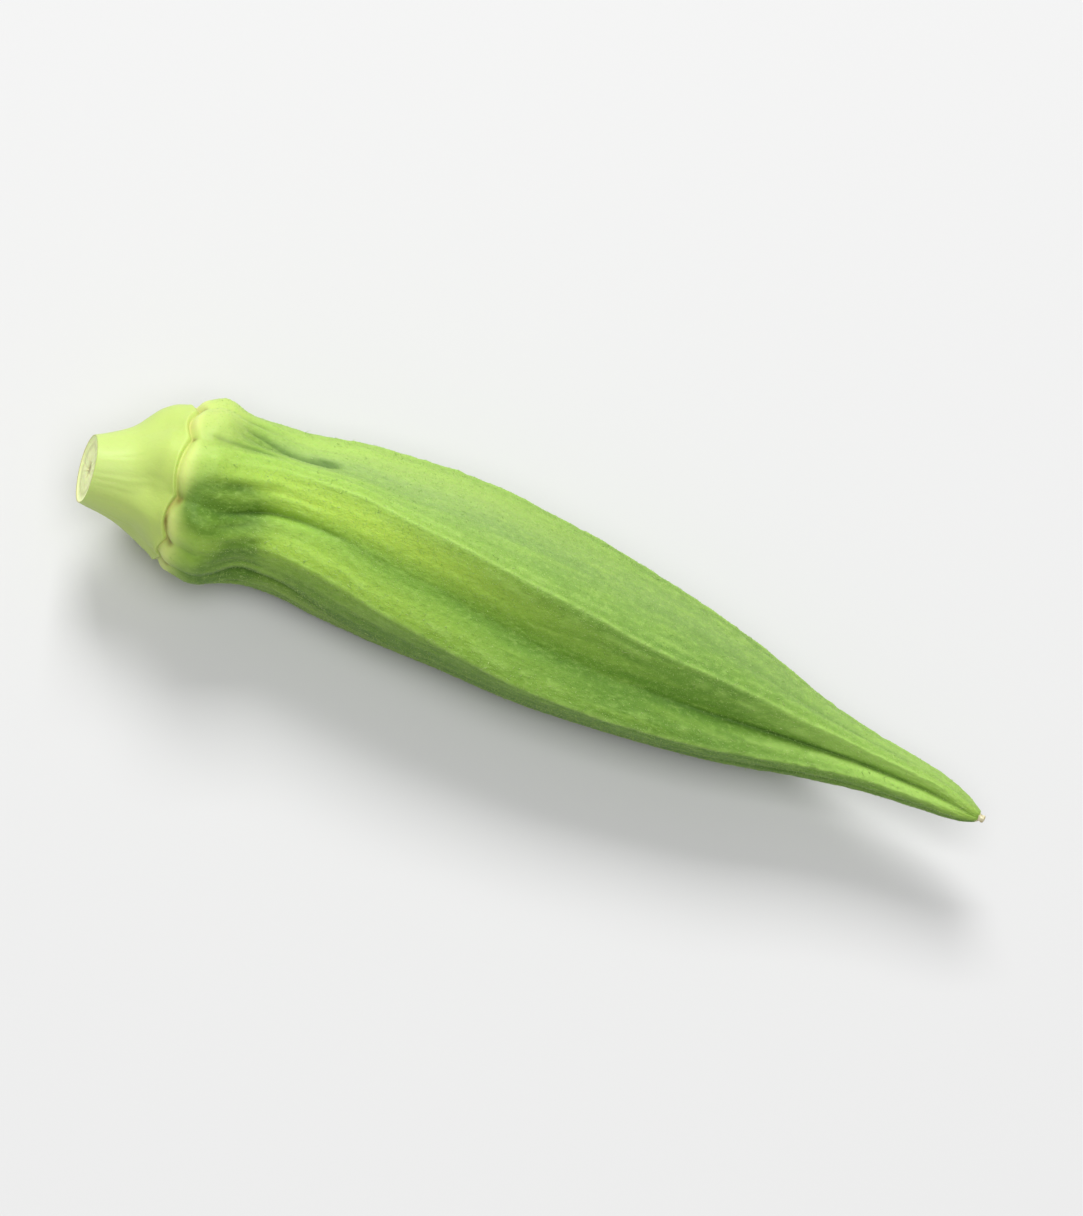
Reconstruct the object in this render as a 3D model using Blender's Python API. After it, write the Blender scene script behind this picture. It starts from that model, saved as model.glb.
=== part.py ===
"""An okra pod: one immature fruit, cut from its plant and lying on its side.

The pod grew as one piece, so it is one closed body. Along its gently bowed axis, from
the stalk (-X) to the tip (+X), it is a cut stub of stalk that flares into a cap with
five soft lobes, a thin groove where the bracts fell off, a collar of knobs, a neck with
a crease in each valley, and a belly with five ridges that tapers to a blunt tip.

The skin is a loft of rings across the axis. A ring's radius at any turn is the height of
the ridge crests at that station, times the share of it that the section keeps at that
turn, plus the relief of the groove, the knobs and the creases. Stations, radii and
heights are in millimetres. Turns are in degrees round the axis, from +Z towards +Y.
Run it with: blender --background --python part.py
"""

import bmesh
import bpy
import numpy as np

NAME = "okra_pod"
MM = 0.001

# Driving dimensions, as (station, value) points of smooth curves
LENGTH = 99.7
CREST_HEIGHT = (
    (0.0, 3.65), (3.5, 5.0), (6.2, 7.1), (7.6, 7.9), (9.9, 8.5), (13.2, 9.2), (16.5, 9.0),
    (20.0, 8.75), (27.7, 9.8), (38.5, 10.65), (49.0, 10.4), (60.0, 9.2), (70.5, 7.25), (81.5, 4.25),
    (87.0, 3.15), (92.5, 2.45), (96.2, 1.9), (98.4, 1.3), (LENGTH, 0.65),
)
BOW = (  # how far the axis bends towards +Y
    (0.0, -0.2), (7.0, 1.4), (14.0, 2.9), (20.0, 3.9), (28.0, 4.4), (38.5, 4.3), (49.0, 3.55),
    (60.0, 2.85), (81.5, 1.45), (92.5, 0.95), (LENGTH, 0.0),
)
RISE = ((0.0, 3.6), (7.0, 1.9), (13.0, 1.2), (24.0, 0.5), (34.0, 0.0), (50.0, 0.0), (LENGTH, 1.2))
CAP_LEAN = ((0.0, 0.0), (3.5, 0.4), (6.2, 1.0), (9.9, 0.5), (14.0, 0.0))  # the cap leans out towards +Y
TWIST = (
    (0.0, 9.0), (13.0, 9.0), (20.0, 14.0), (26.0, 11.5), (34.0, 5.5), (43.0, 2.0), (64.0, 0.0),
    (85.0, 7.0), (LENGTH, 9.0),
)

# The five panels of the belly's section, in turns from the first ridge: where the ridge
# before it and the valley along it lie, and the share of the crests' height left in that
# valley, near the neck and from the middle of the pod on.
PANELS = (
    (0, 29, 0.84, 0.93), (64, 102, 0.80, 0.80), (141, 182, 0.735, 0.735), (223, 261, 0.88, 0.88),
    (299, 326, 0.88, 0.77),
)
NECK_SHARE_ENDS, MIDDLE_SHARE_STARTS = 28.0, 50.0
CROWD_TURN, CROWD_REACH = -48.0, 40.0  # the fifth panel stands up towards the first ridge
CROWD = (
    (0.0, 0.0), (14.0, 0.0), (20.0, 4.5), (27.0, 6.0), (35.0, 7.0), (46.0, 3.0), (56.0, 0.0),
    (77.0, 0.0), (88.0, 8.0), (LENGTH, 8.0),
)
ROLL = -5.0  # the turn of the first ridge, which puts the third panel underneath
VALLEY_DEPTH = (  # 1 where the valleys are as deep as PANELS says
    (0.0, 0.0), (12.0, 0.3), (21.0, 1.1), (30.0, 1.0), (60.0, 1.0), (80.0, 1.5), (94.0, 1.5),
    (98.6, 0.4), (LENGTH, 0.0),
)
SWELL = ((0.0, 0.0), (20.0, 0.015), (55.0, 0.015), (78.0, 0.06), (94.0, 0.06), (LENGTH, 0.0))
CREST_ROUNDING = 0.12  # of half a panel
VALLEY_ROUNDING = ((0.0, 0.5), (30.0, 0.25), (60.0, 0.2), (78.0, 0.1), (LENGTH, 0.1))
BELLY_STARTS, BELLY_IS_FULL = 12.5, 22.0

NOTCHES = (14, 50, 86, 118, 152, 190, 227, 263, 293, 328)  # turns of the gaps between the knobs

# The cap and the collar are round, but for the lobes of the cap
LOBE_DEPTH = ((0.0, 0.02), (3.5, 0.04), (6.2, 0.13), (9.5, 0.04), (12.0, 0.02), (LENGTH, 0.02))

# Relief: station of its middle, reach along the axis, height
GROOVE = (9.9, 0.38, -0.42)
KNOBS = (12.4, 2.0, 0.5)
HOLLOWS = (17.0, 2.3, -0.6)
CREASES = (21.0, 5.0, -0.45)
DIMPLES = (  # the biggest knob and the deepest hollows: turn, station, reach of both, height
    (62, 12.2, 30, 1.9, 0.55), (-27, 14.3, 15, 2.2, -0.45), (-80, 16.8, 32, 2.2, -0.9),
)
SCALLOPS = (10.0, 1.6, -0.7)  # how far each knob pushes the groove towards the stalk
SKEW = (11.0, 5.0, -1.3)  # how far the collar leans towards the stalk
SKEW_TURN = -45.0  # on this side of the pod
CREASE_WIDTH = 0.12  # of half a panel

RIM_WIDTH, FACE_DISH = 0.3, 0.25  # the rounded edge of the cut face, and how far its middle sinks
SETTLE = 0.25  # how far the lowest flesh is pressed flat where the pod rests

# Where the rings of the loft are, and the points on each half panel of a ring
STATIONS = np.concatenate([
    (0.25, 1.3, 2.5, 3.6, 4.7, 5.7, 6.7, 7.7, 8.6, 9.2, 9.55, 9.9, 10.25, 10.65, 11.3, 12.1),
    np.arange(13.1, 26.0, 1.4),
    np.arange(27.0, 62.0, 3.0),
    np.linspace(62.6, 95.0, 14),
    (96.4, 97.5, 98.2, 98.6, 99.2),
])
STEPS = (0.0, 0.1, 0.28, 0.5, 0.72, 0.9)

SKIN_COLOR = (0.27, 0.46, 0.11, 1.0)
SKIN_ROUGHNESS = 0.55


def through(points, at):
    """Values, at these stations, of a smooth curve through the points with no overshoot."""
    x, y = np.array(points, float).T
    at = np.clip(at, x[0], x[-1])
    width = np.diff(x)
    slope = np.diff(y) / width
    before, after = slope[:-1], slope[1:]
    level = before * after <= 0
    inner = np.where(level, 0.0, 2 * before * after / np.where(level, 1.0, before + after))
    tangent = np.concatenate([slope[:1], inner, slope[-1:]])
    i = np.clip(np.searchsorted(x, at, side="right") - 1, 0, len(width) - 1)
    t = (at - x[i]) / width[i]
    ends = y[i] * (1 + 2 * t) * (1 - t) ** 2 + y[i + 1] * (3 - 2 * t) * t**2
    return ends + width[i] * t * (1 - t) * (tangent[i] * (1 - t) - tangent[i + 1] * t)


def smoothstep(low, high, value):
    t = np.clip((value - low) / (high - low), 0, 1)
    return t * t * (3 - 2 * t)


def bell(relief, station):
    """1 at the middle of a relief, falling to 0 beyond its reach."""
    middle, reach, _ = relief
    return np.exp(-(((station - middle) / reach) ** 2))


def rounded(t, softness):
    """0 to 1 as t goes from 0 to 1, but starting level."""
    level = np.sqrt(t**2 + softness**2) - softness
    return level / (np.sqrt(1 + softness**2) - softness)


def panel_edges():
    """The turns of the ridges and valleys in order, from the first ridge round to it again."""
    return np.array([turn for ridge, valley, *_ in PANELS for turn in (ridge, valley)] + [360.0])


def place_in_panel(turn):
    """For each turn: its panel, its place from ridge (0) to valley (1), and the angle of that
    half panel."""
    edges = panel_edges()
    turn = np.mod(turn, 360.0)
    i = np.searchsorted(edges, turn, side="right") - 1
    width = (edges[1:] - edges[:-1])[i]
    t = (turn - edges[i]) / width
    return i // 2, np.where(i % 2 == 0, t, 1 - t), np.radians(width)


def belly_share(station, turn):
    """The share of the crests' height that the ridged section keeps."""
    panel, across, half = place_in_panel(turn)
    shares = np.array(PANELS)
    neck, middle = shares[panel, 2], shares[panel, 3]
    share = neck + (middle - neck) * smoothstep(NECK_SHARE_ENDS, MIDDLE_SHARE_STARTS, station)
    valley = 1 - (1 - share) * through(VALLEY_DEPTH, station)
    t = rounded(across, CREST_ROUNDING)
    t = 1 - rounded(1 - t, through(VALLEY_ROUNDING, station))
    straight = valley * np.sin(half) / (np.sin(half * t) + valley * np.sin(half * (1 - t)))
    return straight + through(SWELL, station) * np.sin(np.pi * t)


def cap_share(station, turn):
    """The same for the cap and the collar."""
    _, across, _ = place_in_panel(turn)
    return 1 - through(LOBE_DEPTH, station) * (1 - np.cos(np.pi * across)) / 2


def knob_wave(turn):
    """1 in the middle of each knob of the collar, falling to 0 in the notches between them."""
    edges = np.array([*NOTCHES, NOTCHES[0] + 360.0])
    turn = np.mod(turn - edges[0], 360.0) + edges[0]
    i = np.searchsorted(edges, turn, side="right") - 1
    return np.sin(np.pi * (turn - edges[i]) / (edges[i + 1] - edges[i]))


def turn_gap(turn, middle):
    """Signed angle from middle to turn, the short way round."""
    return np.mod(turn - middle + 180.0, 360.0) - 180.0


def dimples(station, turn):
    height = 0.0
    for middle, place, wide, long, most in DIMPLES:
        round_it, along = turn_gap(turn, middle) / wide, (station - place) / long
        height = height + most * np.exp(-(round_it**2) - along**2)
    return height


def facing_angle(station, turn):
    """The angle from +Z towards +Y, in radians, at which a turn of the section faces."""
    crowded = through(CROWD, station) * np.exp(-((turn_gap(turn, CROWD_TURN) / CROWD_REACH) ** 2))
    return np.radians(turn + ROLL + through(TWIST, station) + crowded)


def radius(station, turn):
    """Distance from the axis to the skin, for turns from the first ridge."""
    _, across, _ = place_in_panel(turn)
    belly = smoothstep(BELLY_STARTS, BELLY_IS_FULL, station)
    share = (1 - belly) * cap_share(station, turn) + belly * belly_share(station, turn)
    in_valley = np.exp(-(((1 - across) / CREASE_WIDTH) ** 2))
    relief = (
        GROOVE[2] * bell(GROOVE, station)
        + KNOBS[2] * bell(KNOBS, station) * knob_wave(turn)
        + HOLLOWS[2] * bell(HOLLOWS, station) * across**2
        + CREASES[2] * bell(CREASES, station) * in_valley
        + dimples(station, turn)
    )
    return through(CREST_HEIGHT, station) * share + relief


def axis_point(station):
    return np.stack([station, through(BOW, station), through(RISE, station)], -1)


def axis_frame(station):
    """Unit vectors along the axis, sideways and up, at each station."""
    before, after = np.maximum(station - 0.5, 0.0), np.minimum(station + 0.5, LENGTH)
    along = axis_point(after) - axis_point(before)
    along /= np.linalg.norm(along, axis=-1, keepdims=True)
    side = np.cross((0.0, 0.0, 1.0), along)
    side /= np.linalg.norm(side, axis=-1, keepdims=True)
    return along, side, np.cross(along, side)


def on_skin(station, turn, scale=1.0, push=0.0):
    """Points of the skin, drawn in towards the axis by scale and moved along it by push."""
    station = np.full(len(turn), float(station))
    along, side, up = axis_frame(station)
    r = radius(station, turn) * scale
    facing = facing_angle(station, turn)
    push = push + SCALLOPS[2] * bell(SCALLOPS, station) * knob_wave(turn)
    push = push + SKEW[2] * bell(SKEW, station) * np.cos(np.radians(turn - SKEW_TURN))
    sideways = r * np.sin(facing) + through(CAP_LEAN, station)
    upwards = r * np.cos(facing)
    return (
        axis_point(station)
        + along * push[:, None]
        + side * sideways[:, None]
        + up * upwards[:, None]
    )


def ring_turns():
    """The turns of one ring's points, closest together at the ridges and in the valleys."""
    edges = panel_edges()
    turns = []
    for i, (start, end) in enumerate(zip(edges, edges[1:])):
        steps = STEPS if i % 2 == 0 else [1 - t for t in (1.0, *STEPS[:0:-1])]
        turns += [start + (end - start) * t for t in steps]
    return np.array(turns)


def pod_rings():
    """Every ring, from the middle of the cut face to the tip."""
    turns = ring_turns()
    face_edge = 1 - RIM_WIDTH / CREST_HEIGHT[0][1]
    rings = [on_skin(0.0, turns, 0.55, FACE_DISH / 2), on_skin(0.0, turns, face_edge)]
    rings += [on_skin(station, turns) for station in STATIONS]
    return rings + [on_skin(LENGTH, turns, 0.8)]


def settled(points):
    """The pod set down with its lowest flesh pressed flat at height 0, centred on the origin."""
    points = points - (0, 0, points[:, 2].min() + SETTLE)
    points[:, 2] = points[:, 2].clip(0)
    middle = (points.min(0) + points.max(0)) / 2
    return points - (middle[0], middle[1], 0)


def pod_mesh():
    rings = pod_rings()
    ends = [on_skin(0.0, np.zeros(1), 0.0, FACE_DISH), on_skin(LENGTH, np.zeros(1), 0.0, 0.1)]
    count = len(rings[0])
    bm = bmesh.new()
    verts = [bm.verts.new(point * MM) for point in settled(np.concatenate(rings + ends))]
    rows = [verts[k * count:(k + 1) * count] for k in range(len(rings))]
    face_middle, tip_middle = verts[-2:]
    for k in range(count):
        after = (k + 1) % count
        bm.faces.new((face_middle, rows[0][after], rows[0][k]))
        bm.faces.new((tip_middle, rows[-1][k], rows[-1][after]))
        for near, far in zip(rows, rows[1:]):
            bm.faces.new((near[k], near[after], far[after], far[k]))
    bmesh.ops.recalc_face_normals(bm, faces=bm.faces)
    mesh = bpy.data.meshes.new(NAME)
    bm.to_mesh(mesh)
    bm.free()
    mesh.shade_smooth()
    return mesh


def skin_material():
    material = bpy.data.materials.new("pod_skin")
    material.use_nodes = True
    shader = material.node_tree.nodes["Principled BSDF"]
    shader.inputs["Base Color"].default_value = SKIN_COLOR
    shader.inputs["Roughness"].default_value = SKIN_ROUGHNESS
    shader.inputs["Metallic"].default_value = 0.0
    return material


def main():
    for old in list(bpy.data.objects):
        bpy.data.objects.remove(old, do_unlink=True)
    pod = bpy.data.objects.new(NAME, pod_mesh())
    pod.data.materials.append(skin_material())
    collection = bpy.data.collections.new(NAME)
    bpy.context.scene.collection.children.link(collection)
    collection.objects.link(pod)


main()
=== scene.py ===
"""The looks of the okra pod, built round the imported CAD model.

The skin is lofted from the same curves as the CAD solid, on rings close enough together
for its fine relief: the line along each ridge, the seam along each valley, the veins and
creases of the neck, the torn edge and scars round the collar, and the drying cut. Fine
hairs stand on it in two pieces, and a dried remnant of the flower's style ends the tip.

Stations and heights are in millimetres, stations from the cut face (-X) to the tip (+X).
Turns are in degrees round the axis from the first ridge, from +Z towards +Y. The camera
looks along +Y from 71 degrees above the floor.
"""

import bpy
import numpy as np
from mathutils import Matrix, Vector


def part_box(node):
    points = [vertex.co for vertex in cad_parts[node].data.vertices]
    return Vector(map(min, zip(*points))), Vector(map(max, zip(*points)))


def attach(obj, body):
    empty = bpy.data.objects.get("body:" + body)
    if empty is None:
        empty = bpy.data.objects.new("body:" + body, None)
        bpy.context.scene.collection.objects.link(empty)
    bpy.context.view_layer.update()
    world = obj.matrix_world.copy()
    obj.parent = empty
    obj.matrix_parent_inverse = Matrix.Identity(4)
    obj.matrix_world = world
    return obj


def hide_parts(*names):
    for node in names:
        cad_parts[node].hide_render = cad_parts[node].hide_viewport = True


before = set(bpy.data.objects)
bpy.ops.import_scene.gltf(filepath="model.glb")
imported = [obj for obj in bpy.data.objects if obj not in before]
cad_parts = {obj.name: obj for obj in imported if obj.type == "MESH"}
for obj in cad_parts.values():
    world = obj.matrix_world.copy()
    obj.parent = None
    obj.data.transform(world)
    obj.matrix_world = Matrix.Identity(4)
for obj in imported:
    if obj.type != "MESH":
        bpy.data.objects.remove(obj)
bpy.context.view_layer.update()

NODE = "okra_pod"
BODY = "root"
MM = 0.001

# The pod's shape, as in the CAD solid: (station, value) points of smooth curves
LENGTH = 99.7
CREST_HEIGHT = (
    (0.0, 3.65), (3.5, 5.0), (6.2, 7.1), (7.6, 7.9), (9.9, 8.5), (13.2, 9.2), (16.5, 9.0),
    (20.0, 8.75), (27.7, 9.8), (38.5, 10.65), (49.0, 10.4), (60.0, 9.2), (70.5, 7.25), (81.5, 4.25),
    (87.0, 3.15), (92.5, 2.45), (96.2, 1.9), (98.4, 1.3), (LENGTH, 0.65),
)
BOW = (  # how far the axis bends towards +Y, and in RISE upwards
    (0.0, -0.2), (7.0, 1.4), (14.0, 2.9), (20.0, 3.9), (28.0, 4.4), (38.5, 4.3), (49.0, 3.55),
    (60.0, 2.85), (81.5, 1.45), (92.5, 0.95), (LENGTH, 0.0),
)
RISE = ((0.0, 3.6), (7.0, 1.9), (13.0, 1.2), (24.0, 0.5), (34.0, 0.0), (50.0, 0.0), (LENGTH, 1.2))
CAP_LEAN = ((0.0, 0.0), (3.5, 0.4), (6.2, 1.0), (9.9, 0.5), (14.0, 0.0))  # the cap leans towards +Y
TWIST = (  # degrees
    (0.0, 9.0), (13.0, 9.0), (20.0, 14.0), (26.0, 11.5), (34.0, 5.5), (43.0, 2.0), (64.0, 0.0),
    (85.0, 7.0), (LENGTH, 9.0),
)

# The five panels of the belly's section, in turns from the first ridge: where the ridge
# before it and the valley along it lie, and the share of the crests' height left in that
# valley, near the neck and from the middle of the pod on
PANELS = (
    (0, 29, 0.84, 0.93), (64, 102, 0.80, 0.80), (141, 182, 0.735, 0.735), (223, 261, 0.88, 0.88),
    (299, 326, 0.88, 0.77),
)
NECK_SHARE_ENDS, MIDDLE_SHARE_STARTS = 28.0, 50.0
CROWD_TURN, CROWD_REACH = -48.0, 40.0  # the fifth panel stands up towards the first ridge
CROWD = (
    (0.0, 0.0), (14.0, 0.0), (20.0, 4.5), (27.0, 6.0), (35.0, 7.0), (46.0, 3.0), (56.0, 0.0),
    (77.0, 0.0), (88.0, 8.0), (LENGTH, 8.0),
)
ROLL = -5.0  # the turn of the first ridge, which puts the third panel underneath
VALLEY_DEPTH = (  # 1 where the valleys are as deep as PANELS says
    (0.0, 0.0), (12.0, 0.3), (21.0, 1.1), (30.0, 1.0), (60.0, 1.0), (80.0, 1.5), (94.0, 1.5),
    (98.6, 0.4), (LENGTH, 0.0),
)
SWELL = (  # how far each wall bulges, as a share of the crests' height
    (0.0, 0.0), (20.0, 0.015), (55.0, 0.015), (78.0, 0.06), (94.0, 0.06), (LENGTH, 0.0),
)
CREST_ROUNDING = 0.12  # of half a panel
VALLEY_ROUNDING = ((0.0, 0.5), (30.0, 0.25), (60.0, 0.2), (78.0, 0.1), (LENGTH, 0.1))
BELLY_STARTS, BELLY_IS_FULL = 12.5, 22.0
NOTCHES = (14, 50, 86, 118, 152, 190, 227, 263, 293, 328)  # turns of the gaps between the knobs

# The cap and the collar are round, but for the lobes of the cap
LOBE_DEPTH = ((0.0, 0.02), (3.5, 0.04), (6.2, 0.13), (9.5, 0.04), (12.0, 0.02), (LENGTH, 0.02))

# Relief: station of its middle, reach along the axis, height
GROOVE = (9.9, 0.38, -0.42)
KNOBS = (12.4, 2.0, 0.5)
HOLLOWS = (17.0, 2.3, -0.6)
CREASES = (21.0, 5.0, -0.45)
DIMPLES = (  # the biggest knob and the deepest hollows: turn, station, reach of both, height
    (62, 12.2, 30, 1.9, 0.55), (-27, 14.3, 15, 2.2, -0.45), (-80, 16.8, 32, 2.2, -0.9),
)
SCALLOPS = (10.0, 1.6, -0.7)  # how far each knob pushes the groove towards the stalk
SKEW = (11.0, 5.0, -1.3)  # how far the collar leans towards the stalk
SKEW_TURN = -45.0  # on this side of the pod
CREASE_WIDTH = 0.12  # of half a panel
SETTLE = 0.25  # how far the lowest flesh is pressed flat where the pod rests

# Fine relief of the skin. Each line has a half width and a height, and a strength by station
CREST_LINE = (0.28, 0.15)
CREST_LINE_STRENGTH = ((11.0, 0.0), (20.0, 0.5), (34.0, 1.0), (90.0, 1.0), (98.0, 0.2))
SIDE_LINE = (0.28, 0.08)  # beside each ridge
SIDE_LINE_DISTANCE = 1.15
SEAM_LINE = (0.28, -0.16)
SEAM_STRENGTH = (
    (12.0, 0.0), (17.0, 0.8), (24.0, 0.5), (34.0, 0.15), (56.0, 0.15), (66.0, 0.4), (76.0, 1.0),
    (86.0, 0.9), (97.0, 0.4),
)
SEAM_SHARES = (0.25, 1.0, 1.0, 1.0, 1.0)  # by panel
VEIN_LINE = (0.5, 0.2)
VEIN_STRENGTH = (
    (11.0, 0.0), (15.5, 1.0), (24.0, 0.8), (36.0, 0.35), (60.0, 0.2), (94.0, 0.1), (98.0, 0.0),
)
VEINS = (0.33, 0.62)  # where the veins run, from ridge (0) to valley (1)
RIM_LINE = (0.15, -0.11)  # the cut line in the floor of the groove
RIM_TURN, RIM_REACH = -70.0, 45.0  # it is deepest on this side of the pod
LIPS = ((9.2, 0.35, 0.015), (10.7, 0.4, 0.07))  # the raised edges on both sides of it

# Creases of the neck: turn, first and last station, half width, depth
NECK_CREASES = (
    (34, 14.0, 26.0, 0.28, -0.26), (35, 21.4, 25.2, 0.2, -0.4), (16, 11.0, 19.8, 0.28, -0.26),
    (47, 13.0, 18.5, 0.3, -0.15), (-14, 13.5, 18.0, 0.35, -0.15), (-43, 13.0, 19.5, 0.35, -0.2),
    (-72, 12.5, 18.5, 0.3, -0.2), (83, 12.0, 20.5, 0.3, -0.25), (121, 12.5, 19.0, 0.3, -0.2),
    (160, 12.0, 21.0, 0.3, -0.25), (205, 12.5, 18.0, 0.3, -0.2), (245, 12.0, 19.5, 0.3, -0.25),
)
NICK_SHADOW = (35, 23.1, 0.24, 1.4)  # painted shadow of a nick in the neck: turn, station, reach round and along

# Brown scars where the bracts broke off: turn, station, reach round and along, depth
SCARS = (
    (-34, 10.3, 0.42, 0.3, 0.1), (-52, 9.95, 0.8, 0.2, 0.08), (-67, 10.3, 0.5, 0.3, 0.1),
    (-97, 10.4, 0.6, 0.35, 0.15), (14, 10.1, 0.3, 0.22, 0.05), (50, 10.2, 0.35, 0.25, 0.08),
    (86, 10.3, 0.6, 0.36, 0.15), (118, 10.4, 0.5, 0.3, 0.15), (152, 10.3, 0.6, 0.38, 0.15),
    (190, 10.3, 0.5, 0.35, 0.15), (227, 10.4, 0.6, 0.36, 0.15),
)

# Soft bands of colour along the pod: turn, reach round the axis, share. The first are yellow-green
# bands that are partly painted light, lighter where the light falls; the tip's bands are painted light
# on faces turned from the lamps; the last is a painted sheen on the top
YELLOW_AND_PAINTED_LIGHT_BANDS = ((-14, 14, 1.0), (50, 12, 0.7), (-55, 10, 0.5), (116, 14, 0.8), (196, 14, 0.8), (250, 10, 0.8))
YELLOW_AND_PAINTED_LIGHT_STRENGTH = ((12.0, 0.0), (17.0, 0.8), (24.0, 1.0), (34.0, 0.85), (50.0, 0.25), (60.0, 0.0))
# Painted light on the faces near the tip that are turned from the lamps
TIP_PAINTED_LIGHT = ((-46, 9, 1.0), (-8, 9, 0.9), (-22, 8, 0.5))
TIP_PAINTED_LIGHT_STRENGTH = ((70.0, 0.0), (80.0, 0.5), (88.0, 1.0), (94.0, 0.8), (98.5, 0.0))
# Painted sheen on the top of the pod, where the fuzz catches the light
PAINTED_SHEEN_BANDS = ((38, 32, 1.0),)
PAINTED_SHEEN_STRENGTH = ((12.0, 0.0), (19.0, 1.0), (34.0, 1.0), (50.0, 0.75), (LENGTH, 0.75))

# Where the skin is darker round the collar and below, which is painted shade, and where the collar is
# paler
SHADED_GAP = (-33, 14, 12.3, 2.1)  # the collar's deepest gap, painted in shade: turn, reach, station, reach
# Painted shade in the hollows behind the collar and in the notches between its knobs
HOLLOW_SHADE_PLACE, HOLLOW_SHADE_REACH = 15.5, 3.4  # stations
NOTCH_SHADE_PLACE, NOTCH_SHADE_REACH = 12.6, 1.5
CREAM_PLACE, CREAM_REACH = 0.4, 0.9  # from the torn line
UNSHADED_TURN = 10.0  # the turn furthest from the painted shade on the underside
UNDERSIDE_SHADE_STARTS, UNDERSIDE_SHADE_IS_FULL = 62.0, 110.0  # degrees away from it
PALE_TURN, PALE_REACH = 45.0, 36.0  # the side of the collar that is nearly all cream

FACE_RINGS = (0.985, 0.95, 0.9, 0.83, 0.75, 0.65, 0.54, 0.42, 0.3, 0.18, 0.07)
FACE_RELIEF = (  # share of the face's radius, depth
    (0.0, 0.34), (0.2, 0.3), (0.34, 0.18), (0.55, 0.22), (0.74, 0.18), (0.88, 0.18), (0.96, 0.06),
    (1.0, 0.0),
)
FACE_FIBRES = 0.05  # height of the fibres that show on the cut face
END_RING = (0.6, 0.12)  # the last ring's share of the tip's radius, and how far past the tip it is
STEPS = 19  # points on each half panel of a ring
STATIONS = np.concatenate([
    np.linspace(0.0, 0.5, 5, endpoint=False),
    np.linspace(0.5, 8.7, 34, endpoint=False),
    np.linspace(8.7, 11.3, 32, endpoint=False),
    np.linspace(11.3, 26.0, 90, endpoint=False),
    np.linspace(26.0, 62.0, 150, endpoint=False),
    np.linspace(62.0, 96.0, 140, endpoint=False),
    np.linspace(96.0, LENGTH, 20),
])


def through(points, at):
    """Values, at these stations, of a smooth curve through the points with no overshoot."""
    x, y = np.array(points, float).T
    at = np.clip(at, x[0], x[-1])
    width = np.diff(x)
    slope = np.diff(y) / width
    before, after = slope[:-1], slope[1:]
    level = before * after <= 0
    inner = np.where(level, 0.0, 2 * before * after / np.where(level, 1.0, before + after))
    tangent = np.concatenate([slope[:1], inner, slope[-1:]])
    i = np.clip(np.searchsorted(x, at, side="right") - 1, 0, len(width) - 1)
    t = (at - x[i]) / width[i]
    ends = y[i] * (1 + 2 * t) * (1 - t) ** 2 + y[i + 1] * (3 - 2 * t) * t**2
    return ends + width[i] * t * (1 - t) * (tangent[i] * (1 - t) - tangent[i + 1] * t)


def smoothstep(low, high, value):
    t = np.clip((value - low) / (high - low), 0, 1)
    return t * t * (3 - 2 * t)


def hump(distance, half_width):
    """1 on a line, falling to 0 about two half widths away."""
    return np.exp(-((distance / half_width) ** 2))


def noise(station, turn, long, cells, seed):
    """Smooth values from -1 to 1 over the skin, in cells this long and this many round it."""
    rows = int(LENGTH / long) + 4
    values = np.random.default_rng(seed).uniform(-1, 1, (rows, cells))
    i = np.clip(station / long + 1, 0, rows - 2)
    j = np.mod(turn, 360) / 360 * cells
    row, column = i.astype(int), j.astype(int) % cells
    after = (column + 1) % cells
    a, b = smoothstep(0, 1, i - row), smoothstep(0, 1, j - np.floor(j))
    near = values[row, column] * (1 - b) + values[row, after] * b
    far = values[row + 1, column] * (1 - b) + values[row + 1, after] * b
    return near * (1 - a) + far * a


# The CAD solid's section, point for point


def rounded(t, softness):
    """0 to 1 as t goes from 0 to 1, but starting level."""
    level = np.sqrt(t**2 + softness**2) - softness
    return level / (np.sqrt(1 + softness**2) - softness)


def panel_edges():
    """The turns of the ridges and valleys in order, from the first ridge round to it again."""
    return np.array([turn for ridge, valley, *_ in PANELS for turn in (ridge, valley)] + [360.0])


def place_in_panel(turn):
    """For each turn: its panel, its place from ridge (0) to valley (1), and the angle of that
    half panel."""
    edges = panel_edges()
    turn = np.mod(turn, 360.0)
    i = np.searchsorted(edges, turn, side="right") - 1
    width = (edges[1:] - edges[:-1])[i]
    t = (turn - edges[i]) / width
    return i // 2, np.where(i % 2 == 0, t, 1 - t), np.radians(width)


def belly_share(station, turn):
    """The share of the crests' height that the ridged section keeps."""
    panel, across, half = place_in_panel(turn)
    shares = np.array(PANELS)
    neck, middle = shares[panel, 2], shares[panel, 3]
    share = neck + (middle - neck) * smoothstep(NECK_SHARE_ENDS, MIDDLE_SHARE_STARTS, station)
    valley = 1 - (1 - share) * through(VALLEY_DEPTH, station)
    t = rounded(across, CREST_ROUNDING)
    t = 1 - rounded(1 - t, through(VALLEY_ROUNDING, station))
    straight = valley * np.sin(half) / (np.sin(half * t) + valley * np.sin(half * (1 - t)))
    return straight + through(SWELL, station) * np.sin(np.pi * t)


def cap_share(station, turn):
    """The same for the cap and the collar."""
    _, across, _ = place_in_panel(turn)
    return 1 - through(LOBE_DEPTH, station) * (1 - np.cos(np.pi * across)) / 2


def knob_wave(turn):
    """1 in the middle of each knob of the collar, falling to 0 in the notches between them."""
    edges = np.array([*NOTCHES, NOTCHES[0] + 360.0])
    turn = np.mod(turn - edges[0], 360.0) + edges[0]
    i = np.searchsorted(edges, turn, side="right") - 1
    return np.sin(np.pi * (turn - edges[i]) / (edges[i + 1] - edges[i]))


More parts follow.
